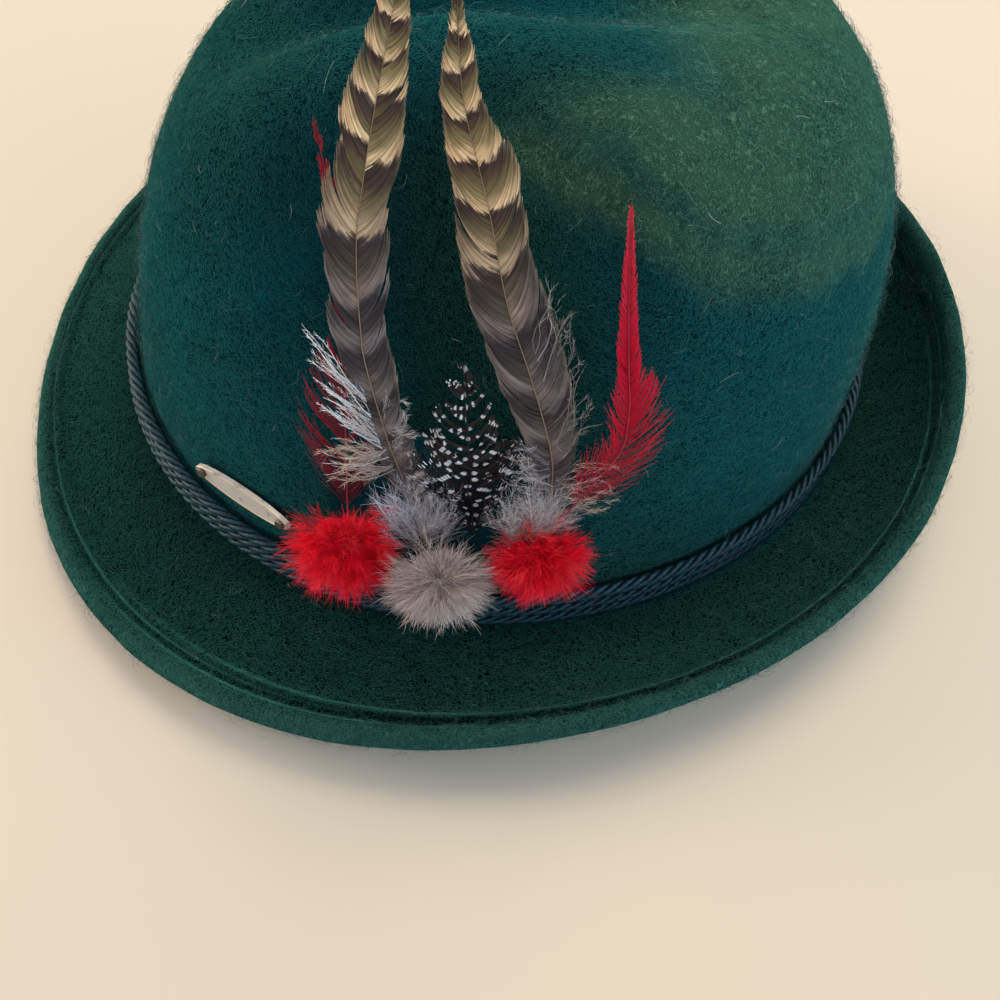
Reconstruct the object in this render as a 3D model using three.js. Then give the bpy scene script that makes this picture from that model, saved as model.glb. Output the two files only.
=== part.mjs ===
// Tyrolean hat of green wool felt, with a twisted cord band, a bare badge plate and a plume of feathers.
// Millimetres, +Z up. The front of the hat is at -Y, the wearer's left at +X, and it stands on z = 0.
import * as THREE from "three";
import { mergeVertices } from "three/addons/utils/BufferGeometryUtils.js";

// Felt body: sizes are to the middle of the felt
const feltThickness = 2.4;
const headHalfLength = 98.5;
const headHalfWidth = 85;
const frontFullness = 0.05; // the foot of the crown is this share wider in front than behind
const crownHeight = 118; // top of the dome above the table, before the crease
const crownSquareness = 3.5; // 2 is a round dome, more is a squarer shoulder
const crownFrontLean = 24; // how far the front wall leans in at the top
const crownBackLean = 9;
const crownSideLean = 9;
const crownFrontDrop = 5; // how much lower the top is in front
const frontDropReach = [-0.2, 0.75]; // the drop starts and ends at these shares of headHalfLength
const footHeight = 3; // the crown's foot above the table at the sides
const footRadius = 3.2; // bend from the crown wall into the brim
const brimWidth = 37.5;
const brimBend = 1.15; // 1 curls the brim evenly, more curls it nearer the edge
const feltSegments = 56; // round the hat

// Centre crease and side pinches of the crown
const creaseDepth = 14;
const creaseHalfWidth = 18;
const creaseFrontReach = 60;
const creaseBackReach = 58;
const creaseFade = [0.6, 0.9]; // shares of crownHeight where the crease starts and is full
const pinchDepth = 33;
const pinchCentre = -26; // along Y
const pinchFrontLength = 42;
const pinchBackLength = 32;
const pinchFloor = 30; // the pinch starts at this height
const pinchCeiling = 94; // and is full from this height up

// Hem: the edge folded up over the brim and stitched
const hemWidth = 9.4;
const hemRise = 1.9;
const hemGroove = 6.6; // stitch line, from the edge

// Cord band
const cordDiameter = 3.5;
const cordSteps = 56;
const cordSides = 8;
const clearance = 0.3; // between any two pieces

// Badge plate and its pins, above the cords
const badgeLength = 28;
const badgeWidth = 6.4;
const badgeThickness = 1;
const badgeHoleDiameter = 1.8;
const badgeHoleSpacing = 23.5;
const badgeAngle = -41; // round the hat from the left side, towards the back
const badgeHeight = 23; // middle of the plate over the crown's foot
const badgeTilt = -2; // the rear end is lower
const pinDiameter = 1.2;
const pinHeadDiameter = 2.6;
const pinFaceDiameter = 2.2; // flat top of the head
const pinHeadHeight = 0.6;

// Plume: it is sewn to a felt pad on the left of the crown, and plumeHeight is where the quills start
const plumeHeight = 46;
const padThickness = 1.5;
const padLow = 24; // over the crown's foot
const padHigh = 50;
const padFront = -4; // in steps of the felt from the left side
const padBack = 1;
const quillThickness = 1.5;
const quillLayer = 1.8; // from one layer of quills to the next
const quillEnd = 0.4; // the quill goes on past its first station by this
const featherTip = 1.5; // and the blade past its last
const barbRake = 0.5; // how far the blade's edge lies ahead of its middle, as a share of its half width
const edgeTooth = 0.84; // half width between the teeth of the edge
const bladeTaper = 0.6; // share of its thickness that a blade loses towards the tip
const lockDepth = 0.8; // a fluff's radius between its locks

// Brim from front to back: at is degrees from the side (-90 front, 90 back), width is a share of
// brimWidth, foot a share of footHeight, slopes are in degrees at the foot and at the hem.
const brimStations = [
  { at: -90, width: 0.87, foot: 4.5, footSlope: -6, hemSlope: -44 },
  { at: -45, width: 0.98, foot: 2.95, footSlope: -5, hemSlope: -2 },
  { at: 0, width: 1.03, foot: 1.0, footSlope: 3, hemSlope: 47 },
  { at: 45, width: 1.04, foot: 0.16, footSlope: 6, hemSlope: 72 },
  { at: 90, width: 1.0, foot: 0.8, footSlope: 27, hemSlope: 94 },
];

// Hem section: from is the distance from the edge and rise the height over the plain felt, as shares
// of hemWidth and hemRise.
const hemSection = [
  { from: 1.1, rise: 0 },
  { from: 1.0, rise: 0.85 },
  { from: 0.84, rise: 0.9 },
  { from: hemGroove / hemWidth, rise: 0.4 },
  { from: 0.55, rise: 1.0 },
  { from: 0.28, rise: 1.05 },
  { from: 0.08, rise: 0.6 },
];

// Feathers: start is the place of the quill along Y, up its height over plumeHeight, layer 0 lies on
// the pad and 1 over it. Their stations go from quill to tip: along, lean and sway are shares of the
// feather's height, of how far it leans in over the crown and of its sway along Y, width of its width.
const feathers = [
  {
    name: "barred_feather_front", look: "barred", start: -23.8, up: 0, layer: 0,
    height: 102, lean: 26, sway: -7.1, width: 9.4, steps: 26,
    stations: [
      { along: -0.07, lean: -0.26, sway: -0.21, width: 0.2 },
      { along: 0, lean: 0, sway: 0, width: 0.3 },
      { along: 0.14, lean: 0, sway: 0.37, width: 0.55 },
      { along: 0.3, lean: 0, sway: 0.67, width: 0.85 },
      { along: 0.57, lean: 0.18, sway: 1, width: 1 },
      { along: 0.78, lean: 0.5, sway: 0.39, width: 0.92 },
      { along: 0.92, lean: 0.82, sway: -0.24, width: 0.55 },
      { along: 1, lean: 1, sway: -0.57, width: 0.12 },
    ],
  },
  {
    name: "barred_feather_rear", look: "barred", start: 3, up: 0, layer: 0,
    height: 98, lean: 24, sway: -17.1, width: 11.4, steps: 24,
    stations: [
      { along: -0.08, lean: -0.12, sway: 0, width: 0.2 },
      { along: 0, lean: 0, sway: 0, width: 0.25 },
      { along: 0.22, lean: 0, sway: 0.04, width: 0.5 },
      { along: 0.44, lean: 0.08, sway: 0.33, width: 1 },
      { along: 0.6, lean: 0.22, sway: 0.61, width: 0.95 },
      { along: 0.76, lean: 0.44, sway: 0.78, width: 0.86 },
      { along: 0.9, lean: 0.75, sway: 1, width: 0.5 },
      { along: 1, lean: 1, sway: 1, width: 0.12 },
    ],
  },
  {
    name: "red_hackle_front", look: "red", start: -38, up: 0, layer: 0,
    height: 78, lean: 17, sway: 5, width: 6, steps: 16,
    stations: [
      { along: -0.1, lean: -0.28, sway: -0.1, width: 0.3 },
      { along: 0, lean: 0, sway: 0, width: 0.4 },
      { along: 0.3, lean: 0.05, sway: 0.44, width: 1 },
      { along: 0.6, lean: 0.35, sway: 1, width: 0.55 },
      { along: 0.85, lean: 0.75, sway: 0.97, width: 0.45 },
      { along: 1, lean: 1, sway: 0.72, width: 0.1 },
    ],
  },
  {
    name: "red_hackle_rear", look: "red", start: 4.8, up: 4, layer: 1,
    height: 70, lean: 11, sway: 10, width: 6.6, steps: 18,
    stations: [
      { along: 0, lean: 0, sway: 0, width: 0.3 },
      { along: 0.18, lean: 0, sway: 0.53, width: 0.8 },
      { along: 0.38, lean: 0, sway: 1, width: 1 },
      { along: 0.6, lean: 0.25, sway: 0.83, width: 0.75 },
      { along: 0.85, lean: 0.7, sway: 0.65, width: 0.4 },
      { along: 1, lean: 1, sway: 0.58, width: 0.1 },
    ],
  },
  {
    name: "guinea_feather", look: "spotted", start: -12.4, up: 1, layer: 0,
    height: 41, lean: 4, sway: -1.5, width: 16, steps: 12,
    stations: [
      { along: -0.14, lean: -0.62, sway: 0, width: 0.2 },
      { along: 0, lean: -0.25, sway: 0, width: 0.5 },
      { along: 0.2, lean: -0.18, sway: 0.02, width: 0.95 },
      { along: 0.42, lean: -0.1, sway: 0.35, width: 1 },
      { along: 0.7, lean: 0.25, sway: 0.8, width: 0.55 },
      { along: 1, lean: 1, sway: 1, width: 0.2 },
    ],
  },
];

// Fluffy balls and down tufts: place is where the middle lies along Y, up is its height over the
// table, out its distance from the layer of quills behind it, half sizes are across the felt, along Y
// and up. The back is pressed flat against those quills.
const fluffs = [
  {
    name: "pompom_red_front", look: "red", place: -36.8, layer: 0, out: 8.4, up: 40,
    across: 10.5, along: 11, tall: 12.5,
  },
  {
    name: "pompom_grey", look: "grey", place: -18, layer: 0, out: 11, up: 35,
    across: 11, along: 10.6, tall: 10.8,
  },
  {
    name: "pompom_red_rear", look: "red", place: 0.9, layer: 1, out: 4.1, up: 42.5,
    across: 9.8, along: 10.4, tall: 11,
  },
  {
    name: "down_front", look: "down", place: -30, layer: 0, out: 4.6, up: 52,
    across: 5, along: 9, tall: 9,
  },
  {
    name: "down_rear", look: "down", place: -1.5, layer: 1, out: 2.9, up: 51,
    across: 5, along: 9, tall: 8.5,
  },
];

const degrees = Math.PI / 180;

const looks = {
  felt: { color: 0x12403a, roughness: 0.95, metalness: 0 },
  cord: { color: 0x0d3534, roughness: 0.8, metalness: 0 },
  plate: { color: 0xd9d3c2, roughness: 0.3, metalness: 0.9 },
  pin: { color: 0x5a5040, roughness: 0.4, metalness: 0.9 },
  pad: { color: 0x10322e, roughness: 0.95, metalness: 0 },
  barred: { color: 0x6f6452, roughness: 0.6, metalness: 0 },
  spotted: { color: 0x1a1c20, roughness: 0.6, metalness: 0 },
  red: { color: 0xc81e28, roughness: 0.7, metalness: 0 },
  grey: { color: 0x8f8782, roughness: 0.85, metalness: 0 },
  down: { color: 0xb9b2a6, roughness: 0.9, metalness: 0 },
};

function smoothStep(low, high, value) {
  const t = Math.min(1, Math.max(0, (value - low) / (high - low)));
  return t * t * (3 - 2 * t);
}

// Value of one column of brimStations at an angle round the hat, the same on both sides
function brimValue(angle, column) {
  const last = brimStations.length - 1;
  const folded = Math.asin(Math.sin(angle)) / degrees;
  const place = Math.min(last - 1e-4, Math.max(0, ((folded + 90) / 180) * last));
  const i = Math.floor(place);
  const mirrored = (k) => brimStations[last - Math.abs(last - Math.abs(k))][column];
  return catmullRom(place - i, ...[i - 1, i, i + 1, i + 2].map(mirrored));
}

function catmullRom(t, a, b, c, d) {
  const slopeB = (c - a) / 2;
  const slopeC = (d - b) / 2;
  const cubic = 2 * (b - c) + slopeB + slopeC;
  const square = 3 * (c - b) - 2 * slopeB - slopeC;
  return cubic * t ** 3 + square * t ** 2 + slopeB * t + b;
}

// Oval of the crown at a height share of 0 (foot) to 1 (top), shrunk by reach for the dome
function ovalPoint(angle, heightShare, reach = 1) {
  const front = Math.max(0, -Math.sin(angle));
  const back = Math.max(0, Math.sin(angle));
  const lean = (crownFrontLean * front * front + crownBackLean * back * back) * heightShare;
  const fullness = 1 - frontFullness * Math.sin(angle) * (1 - heightShare);
  const halfWidth = (headHalfWidth - crownSideLean * heightShare) * fullness;
  const x = halfWidth * Math.cos(angle) * reach;
  const y = (headHalfLength - lean) * Math.sin(angle) * reach;
  return new THREE.Vector2(x, y);
}

// Plan direction square to the crown's foot, pointing out
function outward(angle) {
  const before = ovalPoint(angle - 0.01, 0);
  const after = ovalPoint(angle + 0.01, 0);
  return new THREE.Vector3(after.y - before.y, before.x - after.x, 0).normalize();
}

function footLevel(angle) {
  return footHeight * brimValue(angle, "foot");
}

// Side pinches and centre crease, worked on a point of the plain dome
function dent(point) {
  const along = point.y - pinchCentre;
  const fade = along < 0 ? (along / pinchFrontLength) ** 2 : (along / pinchBackLength) ** 3;
  const full = smoothStep(pinchFloor, pinchCeiling, point.z);
  const squeeze = (pinchDepth / (headHalfWidth - crownSideLean)) * Math.exp(-fade) * full;
  point.x *= 1 - squeeze;
  const reach = point.y < 0 ? creaseFrontReach : creaseBackReach;
  const ends = Math.exp(-((Math.abs(point.y) / reach) ** 4));
  const across = point.x / (creaseHalfWidth * (1 - squeeze));
  const onTop = smoothStep(crownHeight * creaseFade[0], crownHeight * creaseFade[1], point.z);
  point.z -= creaseDepth * Math.exp(-across * across) * ends * onTop;
  return point;
}

// Middle of the felt on the crown: turn is 0 at the foot and 90 degrees at the top centre
function crownPoint(angle, turn) {
  const rise = Math.max(0, Math.sin(turn)) ** (2 / crownSquareness);
  const reach = Math.max(0, Math.cos(turn)) ** (2 / crownSquareness);
  const plan = ovalPoint(angle, rise, reach);
  const start = footLevel(angle) + footRadius;
  const top = crownHeight - crownFrontDrop * smoothStep(...frontDropReach, -plan.y / headHalfLength);
  return dent(new THREE.Vector3(plan.x, plan.y, start + (top - start) * rise));
}

// Middle of the felt on the crown wall at a height over the foot, found by halving
function wallPoint(angle, height) {
  let low = 0;
  let high = 45 * degrees;
  for (let i = 0; i < 30; i += 1) {
    const turn = (low + high) / 2;
    if (crownPoint(angle, turn).z - footLevel(angle) < height) {
      low = turn;
    } else {
      high = turn;
    }
  }
  return crownPoint(angle, low);
}

// Direction square to the crown wall, pointing out
function wallNormal(angle, height) {
  const step = 0.5;
  const up = wallPoint(angle, height + step).sub(wallPoint(angle, height));
  const round = wallPoint(angle + 0.02, height).sub(wallPoint(angle - 0.02, height));
  return round.cross(up).normalize();
}

// Middle of the felt in the bend and on the brim: along is the distance from the crown wall
function brimPoint(angle, along) {
  const footSlope = brimValue(angle, "footSlope") * degrees;
  const hemSlope = brimValue(angle, "hemSlope") * degrees;
  const width = brimWidth * brimValue(angle, "width");
  const bendLength = footRadius * (Math.PI / 2 + footSlope);
  const bent = Math.min(along, bendLength) / footRadius;
  const rest = Math.max(0, along - bendLength);
  const pieces = 12;
  let out = footRadius * (1 - Math.cos(bent));
  let up = footRadius * (1 - Math.sin(bent));
  for (let i = 0; i < pieces; i += 1) {
    const share = ((i + 0.5) / pieces) * (rest / width);
    const slope = footSlope + (hemSlope - footSlope) * share ** brimBend;
    out += (rest / pieces) * Math.cos(slope);
    up += (rest / pieces) * Math.sin(slope);
  }
  const foot = ovalPoint(angle, 0);
  return new THREE.Vector3(foot.x, foot.y, footLevel(angle) + up).addScaledVector(outward(angle), out);
}

// Distance from the crown wall to the brim's edge
function brimReach(angle) {
  const footSlope = brimValue(angle, "footSlope") * degrees;
  return footRadius * (Math.PI / 2 + footSlope) + brimWidth * brimValue(angle, "width");
}

// One ring of points round the hat, set off the middle of the felt to its upper or under side
function feltRing(middle, offset) {
  const ring = [];
  for (let k = 0; k < feltSegments; k += 1) {
    const angle = (k / feltSegments) * 2 * Math.PI;
    const across = middle(angle, 1).sub(middle(angle, -1));
    const round = middle(angle + 0.02, 0).sub(middle(angle - 0.02, 0));
    ring.push(middle(angle, 0).addScaledVector(across.cross(round).normalize(), offset));
  }
  return ring;
}

function crownRing(turn, offset) {
  const nudge = 0.01;
  return feltRing((angle, side) => crownPoint(angle, turn - side * nudge), offset);
}

function brimRing(distance, offset) {
  const nudge = 0.2;
  return feltRing((angle, side) => brimPoint(angle, distance(angle) + side * nudge), offset);
}

function topCentre(offset) {
  const centre = crownPoint(0, Math.PI / 2);
  return centre.setZ(centre.z + offset);
}

// Closed surface over a stack of rings between two end points
function skin(firstPoint, rings, lastPoint) {
  const count = rings[0].length;
  const points = [firstPoint, ...rings.flat(), lastPoint];
  const index = [];
  const at = (row, k) => 1 + row * count + (k % count);
  for (let k = 0; k < count; k += 1) {
    index.push(0, at(0, k), at(0, k + 1));
    index.push(points.length - 1, at(rings.length - 1, k + 1), at(rings.length - 1, k));
    for (let row = 0; row + 1 < rings.length; row += 1) {
      index.push(at(row, k), at(row + 1, k), at(row + 1, k + 1));
      index.push(at(row, k), at(row + 1, k + 1), at(row, k + 1));
    }
  }
  const geometry = new THREE.BufferGeometry().setFromPoints(points);
  geometry.setIndex(index);
  geometry.computeVertexNormals();
  return geometry;
}

// Crown and brim as one felt, from the top centre out over the hem and back inside
function feltBody() {
  const half = feltThickness / 2;
  const topReaches = [0.1, 0.2, 0.31, 0.43, 0.55, 0.67, 0.78, 0.87, 0.94];
  const wallRises = [0.5, 0.36, 0.22, 0.09, 0];
  const turns = [
    ...topReaches.map((reach) => Math.acos(reach ** (crownSquareness / 2))),
    ...wallRises.map((rise) => Math.asin(rise ** (crownSquareness / 2))),
  ];
  const bends = [0.35, 0.7, 1].map((share) => share * footRadius * (Math.PI / 2));
  const plainDistances = [0.1, 0.3, 0.52].map((share) => {
    return (angle) => bends[2] + share * (brimReach(angle) - bends[2]);
  });
  const fromEdge = (share) => (angle) => brimReach(angle) - share * hemWidth;
  const upper = [
    ...turns.map((turn) => crownRing(turn, half)),
    ...bends.map((bend) => brimRing(() => bend, half)),
    ...plainDistances.map((distance) => brimRing(distance, half)),
    ...hemSection.map((row) => brimRing(fromEdge(row.from), half + row.rise * hemRise)),
  ];
  const under = [
    brimRing(fromEdge(0), hemRise / 2),
    brimRing(fromEdge(0.08), -half * 0.7),
    brimRing(fromEdge(0.5), -half),
    brimRing(fromEdge(1.1), -half),
    ...plainDistances.reverse().map((distance) => brimRing(distance, -half)),
    ...bends.reverse().map((bend) => brimRing(() => bend, -half)),
    ...turns.reverse().map((turn) => crownRing(turn, -half)),
  ];
  // The soft felt is pressed flat where it rests
  under.flat().forEach((point) => {
    point.z = Math.max(0, point.z);
  });
  return skin(topCentre(half), [...upper, ...under], topCentre(-half));
}

// One cord of the band, laid on the brim against the crown wall; row 0 is the lowest
function cordLoop(row) {
  const radius = cordDiameter / 2;
  const off = feltThickness / 2 + radius + 2 * clearance;
  const points = [];
  for (let k = 0; k < cordSteps; k += 1) {
    const angle = (k / cordSteps) * 2 * Math.PI;
    const slope = Math.max(0, brimValue(angle, "footSlope")) * degrees;
    const height = off * (1 / Math.cos(slope) + Math.tan(slope)) + row * (cordDiameter + clearance);
    const wall = wallPoint(angle, height);
    points.push(wall.setZ(footLevel(angle) + height).addScaledVector(outward(angle), off));
  }
  const path = new THREE.CatmullRomCurve3(points, true);
  const tube = new THREE.TubeGeometry(path, cordSteps, radius, cordSides, true);
  return merged(tube);
}

function merged(geometry) {
  geometry.deleteAttribute("uv");
  geometry.deleteAttribute("normal");
  const closed = mergeVertices(geometry, 1e-3);
  closed.computeVertexNormals();
  return closed;
}

// Frame of the badge plate: x runs towards the back, y up the wall, z out from it
function badgeFrame() {
  const angle = badgeAngle * degrees;
  const normal = wallNormal(angle, badgeHeight);
  const seat = wallPoint(angle, badgeHeight).addScaledVector(normal, feltThickness / 2 + 2 * clearance);
  const back = new THREE.Vector3(0, 0, 1).cross(normal).normalize();
  const up = normal.clone().cross(back);
  const turn = new THREE.Matrix4().makeBasis(back, up, normal);
  return turn.multiply(new THREE.Matrix4().makeRotationZ(badgeTilt * degrees)).setPosition(seat);
}

function badgePlate() {
  const outline = new THREE.Shape();
  outline.absellipse(0, 0, badgeLength / 2, badgeWidth / 2, 0, 2 * Math.PI);
  [-1, 1].forEach((end) => {
    const hole = new THREE.Path();
    hole.absarc((end * badgeHoleSpacing) / 2, 0, badgeHoleDiameter / 2, 0, 2 * Math.PI, true);
    outline.holes.push(hole);
  });
  const settings = { depth: badgeThickness, bevelEnabled: false, curveSegments: 10 };
  return merged(new THREE.ExtrudeGeometry(outline, settings)).applyMatrix4(badgeFrame());
}

// Depth of the felt behind the plate's plane, at a distance along the plate
function feltBehindPlate(along) {
  const frame = badgeFrame();
  const toPlate = frame.clone().invert();
  let low = badgeAngle - 30;
  let high = badgeAngle + 30;
  for (let i = 0; i < 30; i += 1) {
    const middle = (low + high) / 2;
    const place = wallPoint(middle * degrees, badgeHeight).applyMatrix4(toPlate);
    if (place.x < along) {
      low = middle;
    } else {
      high = middle;
    }
  }
  return -wallPoint(low * degrees, badgeHeight).applyMatrix4(toPlate).z - feltThickness / 2;
}

// Round-headed pin through one hole of the plate, down to the felt
function badgePin(end) {
  const along = (end * badgeHoleSpacing) / 2;
  const foot = clearance - feltBehindPlate(along);
  const neck = badgeThickness + clearance;
  const profile = [
    new THREE.Vector2(0, foot),
    new THREE.Vector2(pinDiameter / 2, foot),
    new THREE.Vector2(pinDiameter / 2, neck),
    new THREE.Vector2(pinHeadDiameter / 2, neck),
    new THREE.Vector2(pinFaceDiameter / 2, neck + pinHeadHeight),
    new THREE.Vector2(0, neck + pinHeadHeight),
  ];
  const pin = new THREE.LatheGeometry(profile, 10);
  pin.rotateX(Math.PI / 2).translate(along, 0, 0);
  return merged(pin).applyMatrix4(badgeFrame());
}

// Felt pad that carries the quills, bent to the crown wall
function plumeBacking() {
  const rows = 4;
  const inner = feltThickness / 2 + 3 * clearance;
  const loops = [];
  for (let i = padFront; i <= padBack; i += 1) {
    const angle = (i / feltSegments) * 2 * Math.PI;
    const loop = [];
    for (let j = 0; j < 2 * rows; j += 1) {
      const outside = j >= rows;
      const step = outside ? 2 * rows - 1 - j : j;
      const height = padLow + ((padHigh - padLow) * step) / (rows - 1);
      const off = outside ? inner + padThickness : inner;
      loop.push(wallPoint(angle, height).addScaledVector(wallNormal(angle, height), off));
    }
    loops.push(loop.reverse());
  }
  return skin(loopMiddle(loops[0]), loops, loopMiddle(loops[loops.length - 1]));
}

function loopMiddle(loop) {
  const sum = loop.reduce((total, point) => total.add(point), new THREE.Vector3());
  return sum.divideScalar(loop.length);
}

// Angle round the hat of a place on its left side
function angleAt(place) {
  return Math.asin(place / headHalfLength);
}

// Point on the front of the pad at a place along Y, with the way out from the crown
function quillSeat(place, off) {
  const angle = angleAt(place);
  const wall = wallPoint(angle, plumeHeight - footLevel(angle));
  const depth = feltThickness / 2 + padThickness + 7 * clearance;
  return wall.addScaledVector(outward(angle), depth + off);
}

// Closed vane with a shaft down its middle and a toothed edge
function featherVane(feather) {
  const root = quillSeat(feather.start, quillThickness / 2 + feather.layer * quillLayer);
  root.z += feather.up;
  const spine = new THREE.CatmullRomCurve3(feather.stations.map((station) => {
    const x = root.x - feather.lean * station.lean;
    const y = root.y + feather.sway * station.sway;
    return new THREE.Vector3(x, y, root.z + feather.height * station.along);
  }));
  const widths = new THREE.CatmullRomCurve3(feather.stations.map((station) => {
    return new THREE.Vector3(station.width * feather.width, 0, 0);
  }));
  const face = new THREE.Vector3(1, 0, 0);
  const rings = [];
  for (let i = 0; i <= feather.steps; i += 1) {
    const t = i / feather.steps;
    const middle = spine.getPoint(t);
    const along = spine.getTangent(t);
    const side = along.clone().cross(face).normalize();
    const front = side.clone().cross(along).normalize();
    const half = (widths.getPoint(t).x / 2) * (i % 2 ? 1 : edgeTooth);
    const thick = (quillThickness / 2) * (1 - bladeTaper * t);
    const forward = middle.clone().addScaledVector(along, half * barbRake);
    const edge = (turn) => forward.clone().addScaledVector(side, turn * half);
    rings.push([
      middle.clone().addScaledVector(front, thick),
      edge(-1),
      middle.clone().addScaledVector(front, -thick),
      edge(1),
    ]);
  }
  const first = spine.getPoint(0).addScaledVector(spine.getTangent(0), -quillEnd);
  const last = spine.getPoint(1).addScaledVector(spine.getTangent(1), featherTip);
  return skin(first, rings, last);
}

// Front of the quills that a fluff is tied to
function quillFront(fluff) {
  return quillSeat(fluff.place, fluff.layer * quillLayer + quillThickness + clearance);
}

function fluffMiddle(fluff) {
  return quillFront(fluff).addScaledVector(outward(angleAt(fluff.place)), fluff.out).setZ(fluff.up);
}

// Planes that a fluff stays behind: the quills and the pad at its back, and its neighbours
function fluffLimits(fluff) {
  const middle = fluffMiddle(fluff);
  const angle = angleAt(fluff.place);
  const limits = [{ point: quillFront(fluff), normal: outward(angle).negate() }];
  [0, 0.5, 1].forEach((share) => {
    const height = Math.min(fluff.up, plumeHeight) - share * fluff.tall - footLevel(angle);
    const normal = wallNormal(angle, height);
    const off = feltThickness / 2 + padThickness + quillThickness + 7 * clearance;
    const point = wallPoint(angle, height).addScaledVector(normal, off);
    limits.push({ point, normal: normal.negate() });
  });
  const size = (one) => Math.max(one.along, one.tall);
  fluffs.filter((other) => other !== fluff).forEach((other) => {
    const toOther = fluffMiddle(other).sub(middle);
    const share = (size(fluff) / (size(fluff) + size(other))) - clearance / 2 / toOther.length();
    limits.push({ point: middle.clone().addScaledVector(toOther, share), normal: toOther.normalize() });
  });
  return limits.map((limit) => ({ ...limit, distance: limit.point.sub(middle).dot(limit.normal) }));
}

// Ball of locks round a soft core
function fluffBall(fluff) {
  const ball = merged(new THREE.IcosahedronGeometry(1, 3));
  const places = ball.attributes.position;
  const middle = fluffMiddle(fluff);
  const limits = fluffLimits(fluff);
  const point = new THREE.Vector3();
  for (let i = 0; i < places.count; i += 1) {
    const lock = i % 3 === 0 ? 1 : lockDepth;
    point.fromBufferAttribute(places, i).multiplyScalar(lock);
    point.multiply(new THREE.Vector3(fluff.across, fluff.along, fluff.tall));
    limits.forEach((limit) => {
      const reach = point.dot(limit.normal);
      if (reach > limit.distance) {
        point.multiplyScalar(limit.distance / reach);
      }
    });
    point.add(middle);
    places.setXYZ(i, point.x, point.y, point.z);
  }
  ball.computeVertexNormals();
  return ball;
}

function mesh(name, geometry, look) {
  const piece = new THREE.Mesh(geometry, new THREE.MeshStandardMaterial(looks[look]));
  piece.name = name;
  return piece;
}

const hat = new THREE.Group();
hat.add(mesh("felt_body", feltBody(), "felt"));
["cord_lower", "cord_middle", "cord_upper"].forEach((name, row) => {
  hat.add(mesh(name, cordLoop(row), "cord"));
});
hat.add(mesh("badge_plate", badgePlate(), "plate"));
hat.add(mesh("badge_pin_front", badgePin(-1), "pin"));
hat.add(mesh("badge_pin_rear", badgePin(1), "pin"));
hat.add(mesh("plume_backing", plumeBacking(), "pad"));
feathers.forEach((feather) => hat.add(mesh(feather.name, featherVane(feather), feather.look)));
fluffs.forEach((fluff) => hat.add(mesh(fluff.name, fluffBall(fluff), fluff.look)));

// The origin is under the middle of the hat
const box = new THREE.Box3().setFromObject(hat);
hat.position.set(-(box.min.x + box.max.x) / 2, -(box.min.y + box.max.y) / 2, 0);

const group = new THREE.Group();
group.add(hat);
export default group;
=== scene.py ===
# Tyrolean hat: wool felt, twisted cord band, bare badge plate and a plume of feathers and fluff
import math

import bmesh
import bpy
import numpy as np
from mathutils import Matrix, Vector, noise


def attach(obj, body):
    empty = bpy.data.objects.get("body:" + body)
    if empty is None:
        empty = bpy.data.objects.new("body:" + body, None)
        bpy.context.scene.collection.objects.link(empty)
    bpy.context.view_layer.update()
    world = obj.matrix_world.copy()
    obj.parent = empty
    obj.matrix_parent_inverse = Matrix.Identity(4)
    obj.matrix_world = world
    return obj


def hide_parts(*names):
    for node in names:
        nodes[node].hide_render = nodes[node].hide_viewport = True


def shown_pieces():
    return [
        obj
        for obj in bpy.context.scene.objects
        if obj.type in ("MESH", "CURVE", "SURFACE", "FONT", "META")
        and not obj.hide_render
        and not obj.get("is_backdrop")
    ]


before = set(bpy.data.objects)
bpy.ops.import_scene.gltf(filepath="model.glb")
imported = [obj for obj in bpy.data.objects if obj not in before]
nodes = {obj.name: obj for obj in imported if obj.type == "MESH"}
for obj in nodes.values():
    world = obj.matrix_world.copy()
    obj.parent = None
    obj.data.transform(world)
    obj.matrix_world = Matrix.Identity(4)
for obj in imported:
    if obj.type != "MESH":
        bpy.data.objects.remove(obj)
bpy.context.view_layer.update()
scene = bpy.context.scene
rng = np.random.default_rng(11)
mm = 0.001
print("frame loaded:", len(nodes), "nodes")


# Material helpers
def addNode(tree, kind, inputs=None, **settings):
    node = tree.nodes.new(kind)
    for key, value in settings.items():
        setattr(node, key, value)
    for key, value in (inputs or {}).items():
        if isinstance(value, bpy.types.NodeSocket):
            tree.links.new(value, node.inputs[key])
        else:
            node.inputs[key].default_value = value
    return node


def mathNode(tree, operation, a, b=0.0, c=0.0, clamp=False):
    node = addNode(tree, "ShaderNodeMath", {0: a, 1: b, 2: c}, operation=operation, use_clamp=clamp)
    return node.outputs[0]


def mixColours(tree, share, a, b, blend="MIX"):
    node = addNode(tree, "ShaderNodeMix", {0: share, 6: a, 7: b}, data_type="RGBA", blend_type=blend)
    return node.outputs[2]


def ramp(tree, value, stops, interpolation="LINEAR"):
    node = addNode(tree, "ShaderNodeValToRGB", {0: value})
    node.color_ramp.interpolation = interpolation
    elements = node.color_ramp.elements
    elements[0].position, elements[0].color = stops[0][0], (*stops[0][1], 1)
    elements[1].position, elements[1].color = stops[-1][0], (*stops[-1][1], 1)
    for place, colour in stops[1:-1]:
        elements.new(place).color = (*colour, 1)
    return node.outputs[0]


def rescale(tree, value, low, high, newLow=0.0, newHigh=1.0):
    inputs = {0: value, 1: low, 2: high, 3: newLow, 4: newHigh}
    return addNode(tree, "ShaderNodeMapRange", inputs, interpolation_type="SMOOTHSTEP").outputs[0]


def objectPlace(tree):
    return tree.nodes.new("ShaderNodeTexCoord").outputs["Object"]


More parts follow.
